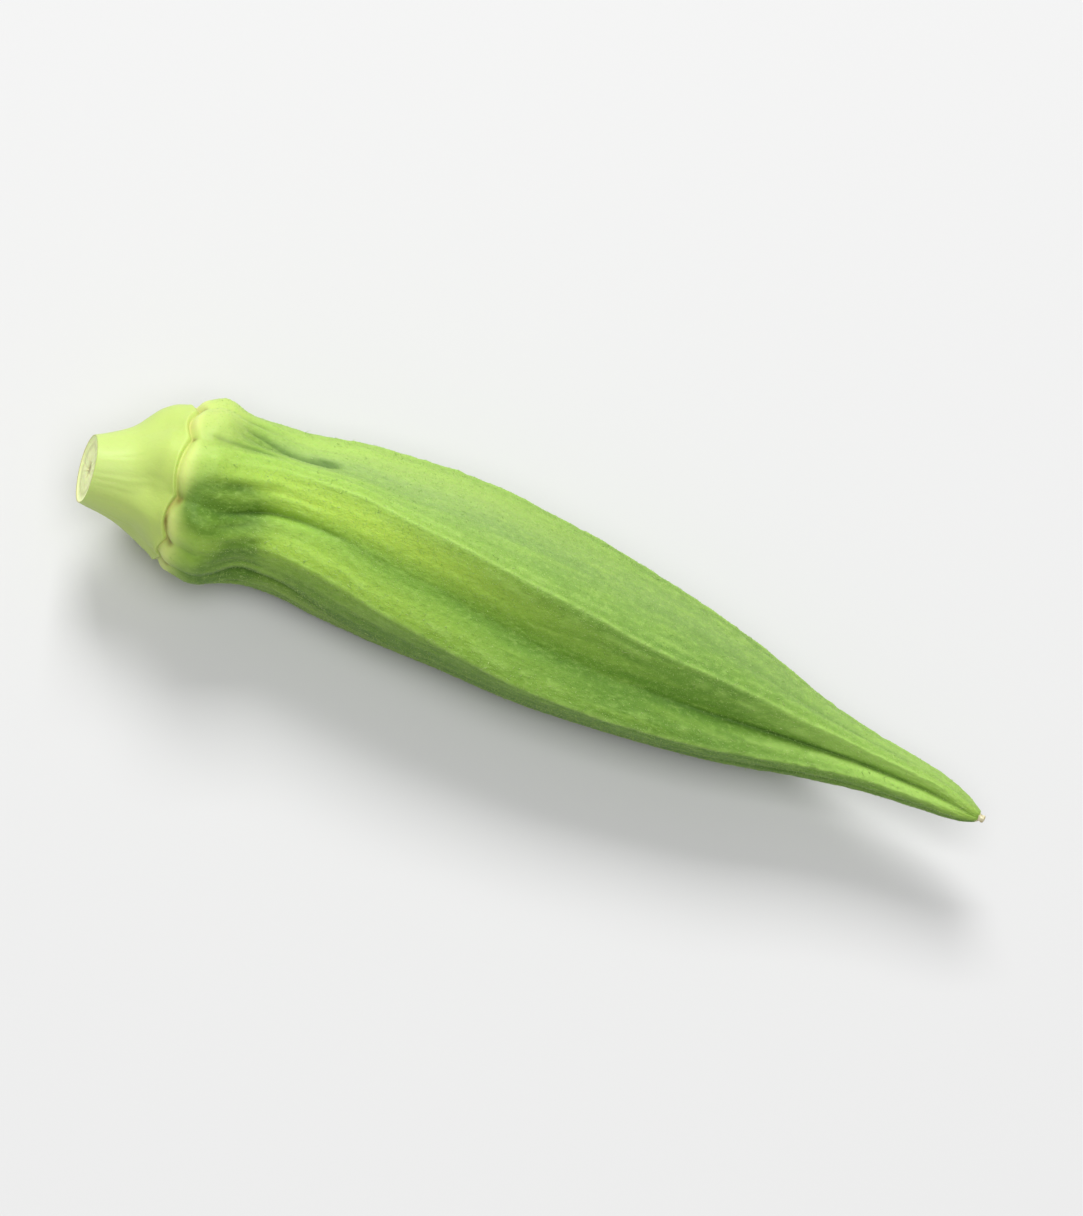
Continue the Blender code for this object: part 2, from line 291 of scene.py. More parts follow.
def turn_gap(turn, middle):
    """Signed angle from middle to turn, the short way round."""
    return np.mod(turn - middle + 180, 360) - 180


def dimples(station, turn):
    """The wide lumps and hollows of the collar and the neck, in millimetres."""
    height = 0.0
    for middle, place, wide, long, most in DIMPLES:
        height = height + most * hump(turn_gap(turn, middle), wide) * hump(station - place, long)
    return height


def facing_angle(station, turn):
    """The angle from +Z towards +Y, in radians, at which a turn of the section faces."""
    crowded = through(CROWD, station) * hump(turn_gap(turn, CROWD_TURN), CROWD_REACH)
    return np.radians(turn + ROLL + through(TWIST, station) + crowded)


def relief_of(shape, station):
    middle, reach, height = shape
    return height * hump(station - middle, reach)


def plain_radius(station, turn):
    """Distance from the axis to the CAD solid's skin."""
    _, across, _ = place_in_panel(turn)
    belly = smoothstep(BELLY_STARTS, BELLY_IS_FULL, station)
    share = (1 - belly) * cap_share(station, turn) + belly * belly_share(station, turn)
    relief = (
        relief_of(GROOVE, station)
        + relief_of(KNOBS, station) * knob_wave(turn)
        + relief_of(HOLLOWS, station) * across**2
        + relief_of(CREASES, station) * hump(1 - across, CREASE_WIDTH)
        + dimples(station, turn)
    )
    return through(CREST_HEIGHT, station) * share + relief


def axis_point(station):
    return np.stack([station, through(BOW, station), through(RISE, station)], -1)


def axis_frame(station):
    """Unit vectors along the axis, sideways and up, at each station."""
    before, after = np.maximum(station - 0.5, 0.0), np.minimum(station + 0.5, LENGTH)
    along = axis_point(after) - axis_point(before)
    along /= np.linalg.norm(along, axis=-1, keepdims=True)
    side = np.cross((0.0, 0.0, 1.0), along)
    side /= np.linalg.norm(side, axis=-1, keepdims=True)
    return along, side, np.cross(along, side)


# The fine relief. Each function gives how much of one feature is at each point of the skin


def crest_line(station, turn):
    """The thin raised line along each ridge, broken up a little."""
    _, across, half = place_in_panel(turn + 1.0 * noise(station, turn, 5.0, 18, 11))
    distance = across * half * plain_radius(station, turn)
    beads = 0.75 + 0.35 * noise(station, turn, 0.9, 40, 12)
    return hump(distance, CREST_LINE[0]) * through(CREST_LINE_STRENGTH, station) * beads


def side_line(station, turn):
    """The fainter broken line beside each ridge."""
    _, across, half = place_in_panel(turn + 1.5 * noise(station, turn, 4.0, 18, 21))
    distance = across * half * plain_radius(station, turn) - SIDE_LINE_DISTANCE
    beads = np.clip(0.4 + 0.9 * noise(station, turn, 1.1, 40, 22), 0, 1)
    return hump(distance, SIDE_LINE[0]) * through(CREST_LINE_STRENGTH, station) * beads


def seam_line(station, turn):
    """The thin sunken seam along each valley, where two walls of the pod meet."""
    panel, across, half = place_in_panel(turn + 1.0 * noise(station, turn, 7.0, 18, 31))
    distance = (1 - across) * half * plain_radius(station, turn)
    return hump(distance, SEAM_LINE[0]) * through(SEAM_STRENGTH, station) * np.array(SEAM_SHARES)[panel]


def veins(station, turn):
    """The low veins that fan out from the collar between each ridge and valley."""
    _, across, half = place_in_panel(turn + 3.0 * noise(station, turn, 8.0, 30, 41))
    total = 0.0
    for place in VEINS:
        distance = (across - place) * half * plain_radius(station, turn)
        total = total + hump(distance, VEIN_LINE[0])
    return total * through(VEIN_STRENGTH, station) * (0.8 + 0.35 * noise(station, turn, 5.0, 30, 42))


def neck_creases(station, turn):
    """Depth of the creases of the neck, in millimetres."""
    wander = turn + 2.5 * noise(station, turn, 4.0, 12, 51)
    depth = 0.0
    for middle, first, last, half_width, height in NECK_CREASES:
        distance = np.radians(turn_gap(wander, middle)) * plain_radius(station, turn)
        reach = smoothstep(first, first + 2.0, station) * (1 - smoothstep(last - 3.0, last, station))
        depth = depth + height * hump(distance, half_width) * reach
    return depth


def from_mark(station, turn, middle, place, wide, long):
    """Distance from a mark on the skin, 1 at its edge, which is this wide and this long."""
    sideways = np.radians(turn_gap(turn, middle)) * plain_radius(station, turn)
    return np.hypot(sideways / wide, (station - place) / long)


def nick(station, turn):
    """1 in the painted shadow of the short nick in the neck's uppermost crease, falling to 0 round it.
    """
    return hump(from_mark(station, turn, *NICK_SHADOW), 1.0)


def rim_gap(station, turn):
    """Distance along the axis from the torn line in the groove."""
    return station - GROOVE[0] - 0.1 * noise(station, turn, 50.0, 34, 61)


def rim_line(station, turn):
    """The cut line, deepest on the side towards the camera and hardly there on top."""
    strength = 0.35 + 0.65 * hump(turn_gap(turn, RIM_TURN), RIM_REACH)
    unevenness = 0.8 + 0.3 * noise(station, turn, 50.0, 30, 62)
    return hump(rim_gap(station, turn), RIM_LINE[0]) * strength * unevenness


def rim_stain(station, turn):
    """The soft brown tinge beside the cut line, in patches."""
    patches = np.clip(0.2 + 0.45 * noise(station, turn, 0.8, 26, 63), 0, 1)
    return hump(rim_gap(station, turn) - 0.1, 0.45) * patches


def scars(station, turn):
    """1 in the middle of each scar of the bracts, falling to 0 round it."""
    ragged = 1 + 0.4 * noise(station, turn, 0.35, 90, 71)
    most = 0.0
    for *mark, _ in SCARS:
        most = np.maximum(most, hump(from_mark(station, turn, *mark), ragged))
    return most


def scar_depth(station, turn):
    """How far the scars are sunk, as a height in millimetres."""
    depth = 0.0
    for *mark, deep in SCARS:
        depth = depth + deep * hump(from_mark(station, turn, *mark), 1.0)
    return -depth


def wrinkles(station, turn):
    """The uneven surface between the lines: long on the neck, short and fine on the belly."""
    neck = through(VEIN_STRENGTH, station)
    on_belly = smoothstep(12.0, 20.0, station)
    return (
        0.05 * neck * noise(station, turn, 4.0, 110, 81)
        + 0.035 * on_belly * noise(station, turn, 2.4, 90, 82)
        + 0.034 * on_belly * noise(station, turn, 0.7, 110, 83)
        + 0.03 * (1 - on_belly) * noise(station, turn, 3.5, 70, 84)
        + 0.05 * (1 - on_belly) * noise(station, turn, 5.0, 14, 85)
    )


def collar_lumps(station, turn):
    """What makes no two knobs of the collar alike."""
    return hump(station - 12.3, 1.8) * (
        0.22 * noise(station, turn, 2.2, 20, 91) + 0.08 * noise(station, turn, 1.0, 44, 92)
    )


def fine_relief(station, turn):
    lips = sum(relief_of(lip, rim_gap(station, turn) + GROOVE[0]) for lip in LIPS)
    return (
        CREST_LINE[1] * crest_line(station, turn)
        + SIDE_LINE[1] * side_line(station, turn)
        + SEAM_LINE[1] * seam_line(station, turn)
        + VEIN_LINE[1] * veins(station, turn)
        + RIM_LINE[1] * rim_line(station, turn)
        + neck_creases(station, turn)
        + scar_depth(station, turn)
        + wrinkles(station, turn)
        + collar_lumps(station, turn)
        + lips
    ) * smoothstep(0.0, 1.0, station)


def on_skin(station, turn, scale=1.0, push=0.0):
    """Points of the skin, drawn in towards the axis by scale and moved along it by push."""
    along, side, up = axis_frame(station)
    r = (plain_radius(station, turn) + fine_relief(station, turn)) * scale
    facing = facing_angle(station, turn)
    push = push + relief_of(SCALLOPS, station) * knob_wave(turn)
    push = push + relief_of(SKEW, station) * np.cos(np.radians(turn - SKEW_TURN))
    sideways = r * np.sin(facing) + through(CAP_LEAN, station)
    upwards = r * np.cos(facing)
    off_axis = side * sideways[..., None] + up * upwards[..., None]
    return axis_point(station) + along * push[..., None] + off_axis


# The skin's mesh


def ring_turns():
    """The turns of one ring's points, closest together at the ridges and in the valleys."""
    edges = panel_edges()
    even = np.arange(STEPS) / STEPS
    t = 0.45 * even + 0.55 * (1 - np.cos(np.pi * even)) / 2
    return np.concatenate([start + (end - start) * t for start, end in zip(edges, edges[1:])])


def skin_points():
    """Points of every ring, from near the middle of the cut face to the tip, with their
    station and turn, and the share of the radius at which they lie."""
    turns = ring_turns()
    count = len(turns)
    shares = np.array(FACE_RINGS[::-1])
    fibres = FACE_FIBRES * noise(np.repeat(shares[:, None] * 20, count, 1), turns[None, :], 2.0, 60, 95)
    dish = through(FACE_RELIEF, shares)[:, None] + fibres * np.minimum(1, 4 * (1 - shares))[:, None]
    face_station = np.zeros((len(shares), count))
    face = on_skin(face_station, np.tile(turns, (len(shares), 1)), shares[:, None], dish)
    station = np.repeat(STATIONS[:, None], count, 1)
    turn = np.tile(turns, (len(STATIONS), 1))
    side = on_skin(station, turn)
    end_share, past_tip = END_RING
    tip_station = np.full((1, count), LENGTH)
    end = on_skin(tip_station, turns[None, :], end_share, np.full((1, count), past_tip))
    points = np.concatenate([face, side, end])
    stations = np.concatenate([face_station, station, tip_station])
    share = np.concatenate([shares, np.ones(len(STATIONS)), [end_share]])
    return points, stations, np.tile(turns, (len(points), 1)), np.repeat(share[:, None], count, 1)


def loft_faces(rows, count):
    """The quads between neighbouring rings, as (row, column) corner arrays."""
    row, column = np.meshgrid(np.arange(rows - 1), np.arange(count), indexing="ij")
    row, column = row.ravel(), column.ravel()
    rows_of = np.stack([row, row, row + 1, row + 1], 1)
    columns_of = np.stack([column, column + 1, column + 1, column], 1)
    return rows_of, columns_of


def new_mesh(name, points, faces):
    mesh = bpy.data.meshes.new(name)
    mesh.from_pydata(points * MM, [], faces)
    mesh.shade_smooth()
    return mesh


def add_attribute(mesh, name, values):
    layer = mesh.attributes.new(name, "FLOAT", "POINT")
    layer.data.foreach_set("value", np.asarray(values, np.float32).ravel())


def add_uv(mesh, corners):
    """The map that a bake of the materials uses, which no material reads."""
    layer = mesh.uv_layers.new(name="OFBake")
    layer.data.foreach_set("uv", np.asarray(corners, np.float32).ravel())


def settling_shift(points):
    """What sets the pod down with its lowest flesh under the floor's height by SETTLE,
    over the middle of the CAD solid."""
    low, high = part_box(NODE)
    middle = (np.array(low) + np.array(high)) / 2 / MM
    own = (points.min(0) + points.max(0)) / 2
    return np.array((middle[0] - own[0], middle[1] - own[1], -points[:, 2].min() - SETTLE))


def pressed_flat(points):
    points = points.copy()
    points[:, 2] = points[:, 2].clip(0)
    return points


def bands(station, turn, places, strength):
    """Soft bands along the pod, whose strength changes with the station."""
    total = sum(most * hump(turn_gap(turn, middle), reach) for middle, reach, most in places)
    return total * through(strength, station)


# Painted shade in the collar's deepest gap
def shaded_gap(station, turn):
    middle, reach, place, long = SHADED_GAP
    return hump(turn_gap(turn, middle), reach) * hump(station - place, long)


def pale_side(turn):
    return hump(turn_gap(turn, PALE_TURN), PALE_REACH)


def shade_in_hollows_mask(station, turn):
    """Painted shade: darker green in the hollows behind the collar, in the sunken dimples and in the
    gaps between its knobs.
    """
    _, across, _ = place_in_panel(turn)
    off_pale_side = 1 - pale_side(turn)
    hollow_shade = hump(station - HOLLOW_SHADE_PLACE, HOLLOW_SHADE_REACH) * smoothstep(0.1, 0.7, across)
    notch_shade = (1 - knob_wave(turn)) ** 2 * hump(station - NOTCH_SHADE_PLACE, NOTCH_SHADE_REACH) * off_pale_side
    # painted shade in the sunken dimples
    sunken = np.clip(-dimples(station, turn), 0, 1)
    hollow_shade = hollow_shade * (0.3 + 0.7 * off_pale_side)
    return np.clip(hollow_shade + 2.2 * sunken + 0.6 * notch_shade + shaded_gap(station, turn), 0, 1)


def cream_mask(station, turn):
    """The cream edge of the collar, which covers nearly all of it on its pale side."""
    gap = rim_gap(station, turn)
    cream = hump(gap - CREAM_PLACE, CREAM_REACH) * (0.2 + 0.5 * knob_wave(turn)) * (gap > 0)
    cream = np.maximum(cream, 0.12 * hump(gap + 0.3, 0.5))
    # less cream in the collar's deepest gap, which is painted in shade
    cream = cream * (1 - 0.85 * shaded_gap(station, turn))
    pale = pale_side(turn) * smoothstep(17.0, 11.5, station)
    return np.maximum(cream, 0.38 * pale * smoothstep(9.5, 10.3, station))


# The pale lines along the ridges, with painted light on the faces near the tip that are turned from the
# lamps
def line_and_light_mask(station, turn):
    lines = crest_line(station, turn) + 0.6 * side_line(station, turn)
    # painted light near the tip
    return np.clip(lines + bands(station, turn, TIP_PAINTED_LIGHT, TIP_PAINTED_LIGHT_STRENGTH), 0, 1)


# The dark seams, with painted shade in the creases of the neck and a painted shadow in its nick
def seam_and_shade_mask(station, turn):
    # painted shade in the creases of the neck
    creases = np.clip(-neck_creases(station, turn) / 0.25, 0, 1)
    return np.clip(seam_line(station, turn) + creases, 0, 1) + 0.5 * nick(station, turn)


def skin_masks(station, turn, share):
    """The values that the skin's material mixes its colours by."""
    _, across, _ = place_in_panel(turn)
    off_neck = smoothstep(14.0, 30.0, station) * (1 - 0.7 * smoothstep(78.0, 92.0, station))
    # Painted shade: the underside is darker, away from the top
    from_above = np.abs(turn_gap(turn + ROLL, UNSHADED_TURN))
    below = smoothstep(UNDERSIDE_SHADE_STARTS, UNDERSIDE_SHADE_IS_FULL, from_above)
    on_face = (share < 0.995) & (station == 0)
    return {
        "along": station / LENGTH,
        # painted shade, darker towards each valley
        "valley": across * off_neck,
        # pale lines, with painted light near the tip
        "line": line_and_light_mask(station, turn),
        "rib": np.clip(veins(station, turn), 0, 1),
        "seam": seam_and_shade_mask(station, turn),
        # painted shade in the collar's hollows and gaps
        "hollow_shade": shade_in_hollows_mask(station, turn),
        # dark seams, with painted shade in the neck's creases and its nick
        "cream": cream_mask(station, turn),
        # yellow-green bands, partly painted light
        "yellow_and_painted_light": bands(station, turn, YELLOW_AND_PAINTED_LIGHT_BANDS, YELLOW_AND_PAINTED_LIGHT_STRENGTH),
        # painted sheen on the top
        "painted_sheen": bands(station, turn, PAINTED_SHEEN_BANDS, PAINTED_SHEEN_STRENGTH),
        # painted shade on the underside
        "under": below * smoothstep(10.0, 20.0, station),
        "rim": rim_line(station, turn) * (1.0 - 0.5 * knob_wave(turn)) + rim_stain(station, turn),
        "scar": scars(station, turn),
        "cut": on_face.astype(float),
        "cut_share": share,
    }


# The skin's bake map: the side unrolled, and the cut face as a disc in a corner
SIDE_ON_MAP = (0.002, 0.92)  # where the side starts, and its length
ROUND_ON_MAP = (0.002, 0.996)
DISC_CENTRE, DISC_RADIUS = (0.964, 0.04), 0.032
TIP_FRINGE = 0.006  # how far the tip's fan reaches past the side


def on_disc(share, turn_share):
    angle = 2 * np.pi * turn_share
    radius = DISC_RADIUS * share
    return np.stack([radius * np.cos(angle), radius * np.sin(angle)], -1) + DISC_CENTRE


def skin_uv(rows_of, columns_of, turns, stations, shares):
    """The map of the quads between the rings. The quads of the cut face come first."""
    turn_share = np.append(turns, 360.0)[columns_of] / 360
    station, share = stations[rows_of] / LENGTH, shares[rows_of]
    start, length = SIDE_ON_MAP
    across_map = start + length * station + start * (1 - share) * station
    up_map = ROUND_ON_MAP[0] + ROUND_ON_MAP[1] * turn_share
    on_face = (rows_of < len(FACE_RINGS) + 1).all(1)[:, None, None]
    return np.where(on_face, on_disc(share, turn_share), np.stack([across_map, up_map], -1))


def fans_uv(turns, inner_share):
    """The map of the fans that close both ends: the disc's middle, and a fringe past the tip."""
    turn_share = np.append(turns, 360.0) / 360
    ring = on_disc(np.full_like(turn_share, inner_share), turn_share)
    centre = np.tile(DISC_CENTRE, (len(turns), 1))
    middle = np.stack([centre, ring[1:], ring[:-1]], 1)
    v = ROUND_ON_MAP[0] + ROUND_ON_MAP[1] * turn_share
    edge = sum(SIDE_ON_MAP) + SIDE_ON_MAP[0]
    points = np.stack([(v[:-1] + v[1:]) / 2, v[:-1], v[1:]], 1)
    across_map = np.broadcast_to([edge + TIP_FRINGE, edge, edge], points.shape)
    return np.concatenate([middle, np.stack([across_map, points], -1)])


def end_fans(rows, count):
    """Triangles from each end's middle point, the last two points of the mesh, to its ring."""
    first, last = rows * count, rows * count + 1
    here = np.arange(count)
    after = (here + 1) % count
    fans = [(first, b, a) for a, b in zip(here, after)]
    ring = (rows - 1) * count
    return fans + [(last, a, b) for a, b in zip(here + ring, after + ring)]


def make_skin():
    """The skin's mesh, and the shift that sets it and all that grows on it down."""
    points, station, turn, share = skin_points()
    rows, count = turn.shape
    flat = points.reshape(-1, 3)
    ends = np.array([points[0].mean(0), points[-1].mean(0)])
    shift = settling_shift(flat)
    rows_of, columns_of = loft_faces(rows, count)
    quads = (rows_of * count + columns_of % count)[:, ::-1].tolist()
    set_down = pressed_flat(np.concatenate([flat, ends]) + shift)
    mesh = new_mesh("skin", set_down, quads + end_fans(rows, count))
    for name, values in skin_masks(station, turn, share).items():
        add_attribute(mesh, name, np.concatenate([values.ravel(), [values[0, 0], values[-1, 0]]]))
    sides = skin_uv(rows_of, columns_of, turn[0], station[:, 0], share[:, 0])[:, ::-1]
    fans = fans_uv(turn[0], share[0, 0])
    add_uv(mesh, np.concatenate([sides.reshape(-1, 2), fans.reshape(-1, 2)]))
    return mesh, shift


# The hairs

HAIRS_START, HAIRS_END = 11.0, 98.5  # the cap is bare
DOWN = {  # short hairs all over, lying towards the tip
    "count": 48000, "length": (0.28, 0.5), "width": 0.028, "lean": 0.6, "stray": 0.45, "seed": 101,
}
BRISTLES = {  # longer ones that stand along the ridges and on the flanks
    "count": 20000, "length": (0.5, 0.95), "width": 0.036, "lean": 0.35, "stray": 0.45, "seed": 102,
}
TRIES = 9  # places tried for each hair that is wanted
SHORTENED = (0.6, 1.0)  # each hair keeps a share of its length between these
BENT_WIDTH, BENT_LEAN = 0.7, 0.8  # a bent hair's middle ring, and how it leans beyond it
ROOT_DEPTH = 0.04
CLEARANCE = 0.15  # no hair is rooted nearer than this to the floor
TIP_CLEARANCE = 0.02  # and no tip ends nearer than this
HAIR_PATCH = 0.0015  # radius of each hair's patch on the bake map
PROUD = np.array((0.9, 0.28, 0.45))  # how far the hairs may reach beyond the CAD solid's box


def down_density(station, turn):
    """Least on the collar."""
    return 0.35 + 0.65 * smoothstep(16, 30, station)


def bristle_density(station, turn):
    """Most along the ridges and towards the floor, few in the valleys on top."""
    _, across, half = place_in_panel(turn)
    near_ridge = hump(across * half * plain_radius(station, turn), 1.3)
    downwards = smoothstep(60, 110, np.abs(turn_gap(turn + ROLL, 0)))
    return (0.12 + 0.88 * np.maximum(near_ridge, 0.75 * downwards)) * smoothstep(11, 17, station)


def unit(vectors):
    return vectors / np.linalg.norm(vectors, axis=-1, keepdims=True)


def hair_roots(kind, density):
    """Stations and turns of the hairs' roots, spread evenly but for the density."""
    rng = np.random.default_rng(kind["seed"])
    tries = rng.random((kind["count"] * TRIES, 3))
    station = HAIRS_START + (HAIRS_END - HAIRS_START) * tries[:, 0]
    turn = 360 * tries[:, 1]
    widest = max(height for _, height in CREST_HEIGHT)
    wanted = density(station, turn) * plain_radius(station, turn) / widest
    kept = np.flatnonzero(tries[:, 2] < wanted)[:kind["count"]]
    return station[kept], turn[kept], rng


def skin_directions(station, turn):
    """Where the skin faces, and the way along it towards the tip."""
    ahead = on_skin(station + 0.3, turn) - on_skin(station - 0.3, turn)
    round_it = on_skin(station, turn + 1.5) - on_skin(station, turn - 1.5)
    return -unit(np.cross(ahead, round_it)), unit(ahead)


def room_for(root, grows):
    """How long a hair may be before it leaves the allowed box, whose bottom is the floor."""
    low, high = (np.array(corner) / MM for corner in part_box(NODE))
    low, high = low - PROUD * (1, 1, 0), high + PROUD
    edge = np.where(grows > 0, high, low)
    room = (edge - root) / np.where(np.abs(grows) < 1e-6, 1e-6, grows)
    return np.clip(room.min(1, keepdims=True) - TIP_CLEARANCE, TIP_CLEARANCE, None)


def hair_points(root, facing, ahead, grows, length, width, bent):
    """The rings and the tip of every hair. A bent hair has a middle ring and leans more
    beyond it."""
    across = unit(np.cross(grows, ahead + 0.01))
    other = np.cross(grows, across)
    angles = np.arange(3) * 2 * np.pi / 3
    ring = np.stack([across * np.cos(a) + other * np.sin(a) for a in angles], 1) * width
    rings = [(root - facing * ROOT_DEPTH)[:, None] + ring]
    tip = root + grows * length
    if bent:
        middle = root + grows * length * 0.5
        rings.append(middle[:, None] + ring * BENT_WIDTH)
        tip = middle + unit(grows + BENT_LEAN * ahead) * length * 0.5
    tip[:, 2] = tip[:, 2].clip(TIP_CLEARANCE)
    return np.concatenate(rings + [tip[:, None]], 1)


def hair_sides(points):
    """The triangles of one hair, which has this many points: rings of three, and a tip."""
    sides = [(0, 2, 1)]
    for ring in range(0, points - 4, 3):
        for k in range(3):
            after = (k + 1) % 3
            sides.append((ring + k, ring + after, ring + 3 + after))
            sides.append((ring + k, ring + 3 + after, ring + 3 + k))
    last = points - 4
    sides += [(last + k, last + (k + 1) % 3, points - 1) for k in range(3)]
    return np.array(sides)


def hair_uv(station, turn, sides):
    """A small patch of the map for each hair, where its root is on the unrolled skin."""
    spot = np.stack([0.01 + 0.98 * station / LENGTH, 0.01 + 0.98 * turn / 360], 1)
    angles = 2.4 * np.arange(sides.max() + 1)
    corner = HAIR_PATCH * np.stack([np.cos(angles), np.sin(angles)], 1)
    return (spot[:, None, None] + corner[sides][None]).reshape(-1, 2)


def make_hairs(name, kind, density, shift, bent):
    """Closed three-sided cones that stand on the skin, in one piece."""
    station, turn, rng = hair_roots(kind, density)
    root = on_skin(station, turn) + shift
    clear = root[:, 2] > CLEARANCE
    station, turn, root = station[clear], turn[clear], root[clear]
    count = len(turn)
    facing, ahead = skin_directions(station, turn)
    stray = rng.normal(0, kind["stray"], (count, 3))
    grows = unit(facing + kind["lean"] * ahead + stray)
    length = rng.uniform(*kind["length"], (count, 1)) * rng.uniform(*SHORTENED, (count, 1))
    length = np.minimum(length, room_for(root, grows))
    points = hair_points(root, facing, ahead, grows, length, kind["width"], bent)
    each = points.shape[1]
    sides = hair_sides(each)
    faces = (np.arange(count)[:, None, None] * each + sides).reshape(-1, 3)
    mesh = new_mesh(name, points.reshape(-1, 3), faces.tolist())
    add_attribute(mesh, "along", np.repeat(station / LENGTH, each))
    add_attribute(mesh, "shade", np.repeat(rng.random(count), each))
    add_uv(mesh, hair_uv(station, turn, sides))
    return mesh


# What is left of the flower's style at the tip

REMNANT_RINGS = (  # distance beyond the tip, radius
    (-0.5, 0.4), (-0.15, 0.56), (0.08, 0.5), (0.22, 0.36), (0.38, 0.34), (0.55, 0.4), (0.7, 0.32),
    (0.76, 0.14),
)
REMNANT_SIDES = 14
REMNANT_FOLDS = (5, 0.22)  # folds round it, and their share of the radius
REMNANT_RAGGED = 0.12
REMNANT_BEND = 0.12
REMNANT_ENDS_ON_MAP = (0.98, 0.5)


def remnant_points(centre, along, side, up):
    rng = np.random.default_rng(111)
    turns = np.arange(REMNANT_SIDES) * 2 * np.pi / REMNANT_SIDES
    folds, depth = REMNANT_FOLDS
    rings = []
    for distance, size in REMNANT_RINGS:
        ragged = rng.uniform(-REMNANT_RAGGED, REMNANT_RAGGED, REMNANT_SIDES)
        r = size * (1 + depth * np.cos(folds * turns + 3 * distance) + ragged)
        middle = centre + along * distance + side * REMNANT_BEND * distance**2
        rings.append(middle + side * (r * np.sin(turns))[:, None] + up * (r * np.cos(turns))[:, None])
    return np.concatenate(rings)


def make_remnant(shift):
    along, side, up = (v[0] for v in axis_frame(np.array([LENGTH])))
    tip = axis_point(np.array([LENGTH]))[0] + shift
    rings = len(REMNANT_RINGS)
    rows_of, columns_of = loft_faces(rings, REMNANT_SIDES)
    quads = (rows_of * REMNANT_SIDES + columns_of % REMNANT_SIDES)[:, ::-1].tolist()
    first = list(range(REMNANT_SIDES))
    last = [k + REMNANT_SIDES * (rings - 1) for k in first]
    mesh = new_mesh("style_remnant", remnant_points(tip, along, side, up), quads + [first, last[::-1]])
    sides = np.stack([rows_of / rings, columns_of / REMNANT_SIDES], -1)[:, ::-1].reshape(-1, 2)
    add_uv(mesh, np.concatenate([sides, [REMNANT_ENDS_ON_MAP] * (2 * REMNANT_SIDES)]))
    return mesh


# Materials


def tint(red, green, blue):
    """A colour from its 0-255 display values."""
    value = np.array((red, green, blue)) / 255
    linear = np.where(value <= 0.04045, value / 12.92, ((value + 0.055) / 1.055) ** 2.4)
    return (*linear, 1.0)


def grey(value):
    return (value, value, value, 1.0)


def new_material(name):
    material = bpy.data.materials.new(name)
    material.use_nodes = True
    return material, material.node_tree, material.node_tree.nodes["Principled BSDF"]


def attribute(tree, name):
    node = tree.nodes.new("ShaderNodeAttribute")
    node.attribute_name = name
    return node.outputs["Fac"]


def maths(tree, operation, *values):
    node = tree.nodes.new("ShaderNodeMath")
    node.operation = operation
    node.use_clamp = True
    for socket, value in zip(node.inputs, values):
        plug(tree, socket, value)
    return node.outputs[0]


def plug(tree, socket, value):
    if isinstance(value, bpy.types.NodeSocket):
        tree.links.new(value, socket)
    else:
        socket.default_value = value


def mix(tree, share, first, second):
    """first where share is 0 and second where it is 1."""
    node = tree.nodes.new("ShaderNodeMix")
    node.data_type = "RGBA"
    plug(tree, node.inputs["Factor"], share)
    plug(tree, node.inputs[6], first)
    plug(tree, node.inputs[7], second)
    return node.outputs[2]


def ramp(tree, value, stops):
    node = tree.nodes.new("ShaderNodeValToRGB")
    elements = node.color_ramp.elements
    for place, color in stops[1:-1]:
        elements.new(place).color = color
    elements[0].position, elements[0].color = stops[0]
    elements[-1].position, elements[-1].color = stops[-1]
    tree.links.new(value, node.inputs["Fac"])
    return node.outputs["Color"]


def grain(tree, stretch, scale, detail=3.0, roughness=0.6):
    """Noise in the pod's own coordinates, drawn out along it by stretch."""
    place = tree.nodes.new("ShaderNodeTexCoord")
    mapping = tree.nodes.new("ShaderNodeMapping")
    mapping.inputs["Scale"].default_value = (1 / stretch, 1, 1)
    texture = tree.nodes.new("ShaderNodeTexNoise")
    texture.inputs["Scale"].default_value = scale
    texture.inputs["Detail"].default_value = detail
    texture.inputs["Roughness"].default_value = roughness
    tree.links.new(place.outputs["Object"], mapping.inputs["Vector"])
    tree.links.new(mapping.outputs["Vector"], texture.inputs["Vector"])
    return texture.outputs["Fac"]


def steep(tree, value, low, high):
    """0 below low and 1 above high, for a noise that is to show as patches."""
    node = tree.nodes.new("ShaderNodeMapRange")
    node.interpolation_type = "SMOOTHSTEP"
    node.inputs["From Min"].default_value = low
    node.inputs["From Max"].default_value = high
    tree.links.new(value, node.inputs["Value"])
    return node.outputs["Result"]


def bump(tree, height, distance, strength=1.0, under=None):
    node = tree.nodes.new("ShaderNodeBump")
    node.inputs["Distance"].default_value = distance * MM
    plug(tree, node.inputs["Strength"], strength)
    tree.links.new(height, node.inputs["Height"])
    if under is not None:
        tree.links.new(under, node.inputs["Normal"])
    return node.outputs["Normal"]


BODY_COLORS = (  # by share of the length, from the cut to the tip
    (0.0, tint(184, 204, 114)), (0.095, tint(180, 202, 101)), (0.122, tint(154, 188, 77)),
    (0.18, tint(146, 185, 60)), (0.34, tint(124, 165, 52)), (0.52, tint(103, 144, 41)),
    (0.72, tint(92, 134, 36)), (0.88, tint(118, 160, 54)), (1.0, tint(148, 182, 74)),
)
# Painted shade, darker towards each valley
VALLEY_SHADE_COLOR = tint(84, 130, 20)
# A yellower tone that is partly painted light, lighter where the light falls
YELLOW_AND_PAINTED_LIGHT_COLOR = tint(182, 214, 72)
# Pale lines and specks, and painted light near the tip
LINE_AND_LIGHT_COLOR = tint(164, 200, 98)
RIB_COLOR = tint(168, 206, 84)
# Dark seams and specks, and painted shade in the neck's creases and its nick
SEAM_AND_SHADE_COLOR = tint(52, 90, 20)
# Painted shade in the collar's hollows and gaps, and dark patches all over
SHADE_AND_PATCH_COLOR = tint(76, 116, 14)
